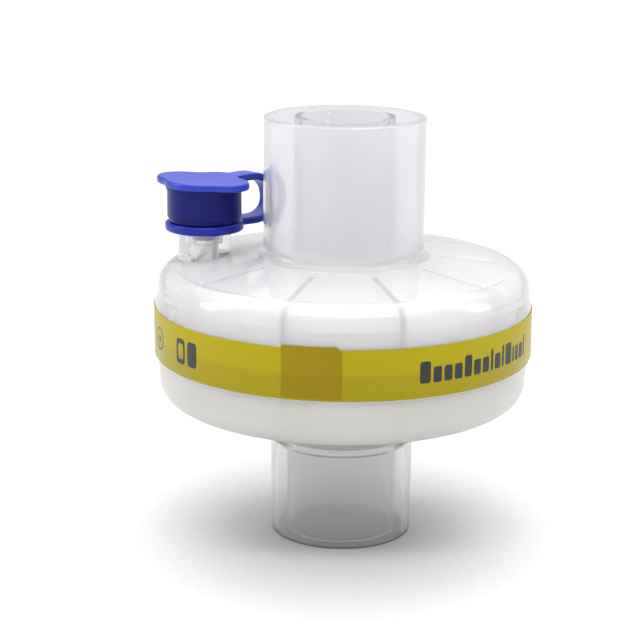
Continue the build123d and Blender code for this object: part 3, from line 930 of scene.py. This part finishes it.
@dataclass
class TetheredCap:
    """The blue cap, its ring and the strap between them. Lengths are millimetres."""

    plate_r: float = 6.15
    plate_thickness: float = 1.15
    plate_edge: float = 0.48
    plate_underedge: float = 0.3
    plate_dish: float = 0.16
    plate_steps: int = 240
    edge_steps: int = 8
    top_shares: tuple = (0.04, 0.2, 0.4, 0.6, 0.8, 0.93)
    under_shares: tuple = (0.7, 0.35, 0.04)
    facing_deg: float = 55.0
    wing_length: float = 2.2
    wing_offset_deg: float = 94.0
    wing_half_spread_deg: float = 44.0
    scoop_depth: float = 0.75
    scoop_offset_deg: float = 42.0
    scoop_half_spread_deg: float = 34.0
    skirt_r: float = 5.72
    skirt_wall: float = 1.35
    skirt_bottom: float = 48.97
    skirt_neck_in: float = 0.25
    skirt_neck_height: float = 0.6
    bead_proud: float = 0.2
    bead_height: float = 0.42
    skirt_overlap: float = 0.05
    plug_root_r: float = 2.1
    plug_tip_r: float = 1.86
    plug_round: float = 0.3
    plug_steps: int = 64
    axis_gap: float = 0.02
    ring_r: float = 6.05
    ring_bore_r: float = 3.41
    ring_height: float = 1.35
    ring_round: float = 0.4
    bore_round: float = 0.08
    strap_top_azimuth_deg: float = 45.0
    strap_ring_azimuth_deg: float = 38.0
    strap_width: float = 3.3
    strap_thickness: float = 1.15
    strap_round: float = 0.32
    strap_reach: float = 13.8
    strap_bow: float = 4.6
    strap_sink: float = 0.08
    strap_turns_from: float = 0.45
    strap_turns_over: float = 0.4
    strap_bow_points: int = 61
    strap_arm_points: int = 15
    cap_root: float = 4.6
    ring_root: float = 4.9
    port: np.ndarray = field(init=False)
    plate_top: float = field(init=False)
    ring_bottom: float = field(init=False)

    def __post_init__(self) -> None:
        """Reads the port's axis from the ring's joint, and the heights from the CAD nodes."""
        self.port = port_axis_mm()
        self.plate_top = box_mm("port_cap")[1][2]
        self.ring_bottom = box_mm("tether_ring")[0][2]

    def turned(self, corners: list, steps: int = 160) -> Surface:
        """A ring about the port's axis, from an outline whose corners are (radius, z, rounding)."""
        points, radii = [corner[:2] for corner in corners], [corner[2] for corner in corners]
        return lathe(round_corners(points, radii) * MM, steps, tuple(self.port * MM))

    def plate_outline(self, azimuth: np.ndarray) -> np.ndarray:
        """The plate's radius: a circle, a wing each side, and a scoop each side of the strap."""
        radius = np.full_like(azimuth, self.plate_r)
        for side in (-1, 1):
            wing = swell(azimuth, self.facing_deg + side * self.wing_offset_deg, self.wing_half_spread_deg)
            scoop = swell(azimuth, self.facing_deg + side * self.scoop_offset_deg, self.scoop_half_spread_deg)
            radius += self.wing_length * wing - self.scoop_depth * scoop
        return radius

    def plate(self) -> Surface:
        """The finger plate: its outline carried from the middle over a rounded edge and back under.

        The top is (share * (radius - edge), top - dish * (1 - share ^ 2)), the edges are quarter circles, and
        the underside runs straight back to the middle.
        """
        azimuth = np.linspace(0, 360, self.plate_steps, endpoint=False)
        outline = self.plate_outline(azimuth)
        edge, under = self.plate_edge, self.plate_underedge
        top, bottom = self.plate_top, self.plate_top - self.plate_thickness
        turn = np.linspace(0, QUARTER_TURN, self.edge_steps)
        rows = [(r * (outline - edge), top - self.plate_dish * (1 - r**2)) for r in self.top_shares]
        rows += [(outline - edge * (1 - math.sin(t)), top - edge * (1 - math.cos(t))) for t in turn]
        rows += [(outline - under * (1 - math.cos(t)), bottom + under * (1 - math.sin(t))) for t in turn]
        rows += [(outline * r, bottom) for r in self.under_shares]
        radius = np.stack([r for r, _ in rows])
        height = np.broadcast_to(np.array([z for _, z in rows])[:, None], radius.shape)
        angle = np.radians(azimuth)
        x, y = self.port[0] + radius * np.cos(angle), self.port[1] + radius * np.sin(angle)
        return Surface.from_grid(np.stack([x, y, height], axis=-1) * MM, cap_ends=True)

    def plug(self) -> Surface:
        """The tapered plug under the plate, closed at its rounded tip."""
        tip, root = box_mm("port_cap")[0][2], self.plate_top - self.plate_thickness
        middle = [(self.axis_gap, z, 0) for z in (tip, root)]
        side = [(self.plug_tip_r, tip, self.plug_round), (self.plug_root_r, root, 0)]
        return self.turned([middle[0], *side, middle[1]], steps=self.plug_steps)

    def skirt(self) -> Surface:
        """The skirt: a thick wall that is necked in above the ring, with a bead under the plate."""
        top = self.plate_top - self.plate_thickness
        neck, bead = self.skirt_bottom + self.skirt_neck_height, top - self.bead_height
        inner, slim = self.skirt_r - self.skirt_wall, self.skirt_r - self.skirt_neck_in
        proud, seated = self.skirt_r + self.bead_proud, top + self.skirt_overlap
        corners = [
            (inner, self.skirt_bottom, 0),
            (slim, self.skirt_bottom, 0.1),
            (slim, neck, 0.04),
            (self.skirt_r, neck, 0.1),
            (self.skirt_r, bead, 0.05),
            (proud, bead, 0.09),
            (proud, seated, 0),
            (inner, seated, 0),
        ]
        return self.turned(corners)

    def ring(self) -> Surface:
        """The tether ring: a flat ring with well rounded outer edges."""
        bottom, top = self.ring_bottom, self.ring_bottom + self.ring_height
        inside = [(self.ring_bore_r, z, self.bore_round) for z in (bottom, top)]
        outside = [(self.ring_r, z, self.ring_round) for z in (bottom, top)]
        return self.turned([inside[0], *outside, inside[1]])

    def strap(self) -> Surface:
        """The strap: a rounded rectangle carried out along one arm, round a bow and back to the ring.

        In an upright plane through the port's axis its middle line runs out at the plate's level, follows the
        half ellipse (centre + bow cos t, middle + radius sin t), for t from a quarter turn to minus one, and
        runs back at the ring's level. The plane eases from the plate's azimuth to the ring's on the way.
        """
        low, high = box_mm("cap_strap")
        half = self.strap_thickness / 2
        top, bottom = high[2] - self.strap_sink, low[2]
        middle, radius = (top + bottom) / 2, (top - bottom) / 2 - half
        centre = self.strap_reach - half - self.strap_bow
        turn = np.linspace(QUARTER_TURN, -QUARTER_TURN, self.strap_bow_points)
        count = self.strap_arm_points
        top_arm = np.linspace(self.cap_root, centre, count + 1)[:-1]
        ring_arm = np.linspace(centre, self.ring_root, count + 1)[1:]
        x = np.concatenate([top_arm, centre + self.strap_bow * np.cos(turn), ring_arm])
        arm_level = np.full(count, radius)
        z = middle + np.concatenate([arm_level, radius * np.sin(turn), -arm_level])
        ahead = np.stack([np.gradient(x), np.gradient(z)], axis=-1)
        ahead /= np.linalg.norm(ahead, axis=1)[:, None]
        out = np.stack([-ahead[:, 1], ahead[:, 0]], axis=-1)
        progress = np.linspace(0, 1, len(x))
        share = np.clip((progress - self.strap_turns_from) / self.strap_turns_over, 0, 1)
        ease = share * share * (3 - 2 * share)
        first, last = np.radians([self.strap_top_azimuth_deg, self.strap_ring_azimuth_deg])
        azimuth = (first + (last - first) * ease)[:, None]
        wide = self.strap_width / 2
        corners = [(-wide, -half), (wide, -half), (wide, half), (-wide, half)]
        section = round_corners(corners, [self.strap_round] * 4)
        along = x[:, None] + out[:, :1] * section[None, :, 1]
        up = z[:, None] + out[:, 1:] * section[None, :, 1]
        side = np.broadcast_to(section[None, :, 0], along.shape)
        x = self.port[0] + along * np.cos(azimuth) - side * np.sin(azimuth)
        y = self.port[1] + along * np.sin(azimuth) + side * np.cos(azimuth)
        return Surface.from_grid(np.stack([x, y, up], axis=-1) * MM, cap_ends=True)

    def build(self) -> None:
        """Builds the plate with its plug, the skirt, the ring and the strap."""
        plate = dress(self.plate().joined(self.plug()).to_object("finger_plate"), PLATE_PLASTIC)
        settle(plate, Body.CAP, Slot.CAP, "port_cap")
        # The skirt's and the ring's darker blues are painted shade.
        settle(dress(self.skirt().to_object("cap_skirt"), SHADED_SKIRT_PLASTIC), Body.CAP, Slot.CAP)
        ring = dress(self.ring().to_object("hub_ring"), SHADED_RING_PLASTIC)
        settle(ring, Body.TETHER, Slot.CAP, "tether_ring")
        strap = dress(self.strap().to_object("cap_tether_strap"), PLATE_PLASTIC)
        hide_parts("cap_strap")
        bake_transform(strap)
        log.info("%s: %d faces between ring and cap", strap.name, len(strap.data.polygons))


@dataclass(frozen=True)
class Softbox:
    """A rectangular lamp. Lengths are metres."""

    name: str
    place: tuple
    size: tuple
    watts: float


@dataclass
class Studio:
    """Floor, camera and lights. Lengths are metres."""

    camera_place: tuple = (0.0, -0.2712, 0.10445)
    pitch_deg: float = 14.65
    yaw_deg: float = -0.747
    roll_deg: float = 0.49
    focal_px: float = 1805.7
    picture_px: float = 640.0
    sensor_mm: float = 36.0
    near_clip: float = 0.01
    far_clip: float = 20.0
    floor_half: float = 3.0
    floor_points: int = 9
    overhead_from: float = 0.45
    overhead_strength: float = 2.7
    wall_fade: tuple = (0.25, 0.6)
    wall_strength: float = 0.68
    back_light: tuple = (0.0, 0.574, 0.819)
    back_from: float = 0.8
    back_strength: float = 1.9
    aim: tuple = (0.0, 0.0, 0.035)
    softboxes: tuple = (
        Softbox("front_strip", (0.0, -0.36, 0.60), (0.50, 0.05), 1.2),
        Softbox("left_box", (-0.55, -0.02, 0.26), (0.14, 0.34), 0.9),
        Softbox("right_box", (0.55, 0.02, 0.26), (0.14, 0.34), 0.7),
    )
    bounces: int = 32
    opaque_bounces: int = 16
    clear_bounces: int = 20
    clamp: float = 3.0

    def camera(self) -> None:
        """The camera at the photograph's place and angle.

        It looks along (sin yaw cos pitch, cos yaw cos pitch, -sin pitch), and is rolled about that line.
        """
        pitch, yaw, roll = (math.radians(v) for v in (self.pitch_deg, self.yaw_deg, self.roll_deg))
        forward = Vector((math.sin(yaw) * math.cos(pitch), math.cos(yaw) * math.cos(pitch), -math.sin(pitch)))
        level = Vector((math.cos(yaw), -math.sin(yaw), 0))
        upright = level.cross(forward)
        right = math.cos(roll) * level + math.sin(roll) * upright
        up = math.cos(roll) * upright - math.sin(roll) * level
        data = bpy.data.cameras.new("photo_camera")
        data.sensor_width = self.sensor_mm
        data.lens = self.focal_px * self.sensor_mm / self.picture_px
        data.clip_start, data.clip_end = self.near_clip, self.far_clip
        made = bpy.data.objects.new("photo_camera", data)
        turned = Matrix((right, up, -forward)).transposed().to_4x4()
        made.matrix_world = Matrix.Translation(self.camera_place) @ turned
        bpy.context.scene.collection.objects.link(made)
        bpy.context.scene.camera = made

    def floor(self) -> None:
        """A large flat sheet of pale paper."""
        side = np.linspace(-self.floor_half, self.floor_half, self.floor_points)
        x, y = np.meshgrid(side, side, indexing="ij")
        grid = np.stack([x, y, np.zeros_like(x)], axis=-1)
        sheet = Surface.from_grid(grid, wrap_cols=False).to_object("studio_floor")
        dress(sheet, PaleFloor())

    def lamps(self) -> None:
        """The rectangular lamps, turned to the filter."""
        for box in self.softboxes:
            data = bpy.data.lights.new(box.name, "AREA")
            data.shape = "RECTANGLE"
            data.size, data.size_y = box.size
            data.energy = box.watts
            lamp = bpy.data.objects.new(box.name, data)
            lamp.location = box.place
            lamp.rotation_euler = (Vector(self.aim) - Vector(box.place)).to_track_quat("-Z", "Y").to_euler()
            bpy.context.scene.collection.objects.link(lamp)

    def sky(self) -> None:
        """A white studio dome: dim walls, light overhead, and a bright patch above and behind the filter."""
        world = bpy.data.worlds.new("studio_dome")
        bpy.context.scene.world = world
        world.use_nodes = True
        graph = Graph(world.node_tree)
        coords = graph.add("ShaderNodeTexCoord").outputs["Generated"]
        way = graph.add("ShaderNodeSeparateXYZ", Vector=coords)
        overhead = graph.spread(way.outputs[2], self.overhead_from, 1.0, 0.0, self.overhead_strength)
        walls = graph.spread(way.outputs[2], *self.wall_fade, self.wall_strength, 0.0)
        facing = graph.add("ShaderNodeVectorMath", "DOT_PRODUCT", i0=coords, i1=self.back_light)
        behind = graph.spread(facing.outputs["Value"], self.back_from, 1.0, 0.0, self.back_strength)
        strength = graph.math("ADD", graph.math("ADD", overhead, walls), behind)
        light = graph.add("ShaderNodeBackground", Color=(1.0, 1.0, 1.0, 1.0), Strength=strength)
        graph.add("ShaderNodeOutputWorld", Surface=light.outputs[0])

    def build(self) -> None:
        """Sets up the camera, floor, dome and lamps."""
        self.camera()
        self.floor()
        self.sky()
        self.lamps()
        view = bpy.context.scene.view_settings
        view.view_transform = "Standard"
        view.look = "None"
        paths = bpy.context.scene.cycles
        paths.max_bounces = self.bounces
        paths.diffuse_bounces = paths.glossy_bounces = self.opaque_bounces
        paths.transmission_bounces = paths.transparent_max_bounces = self.clear_bounces
        paths.sample_clamp_indirect = self.clamp


def main() -> None:
    """Builds the studio and dresses each part in turn."""
    logging.basicConfig(level=logging.INFO, format="%(message)s")
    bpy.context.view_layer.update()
    Studio().build()
    Shells().build()
    Label().build()
    TetheredCap().build()


if __name__ == "__main__":
    main()
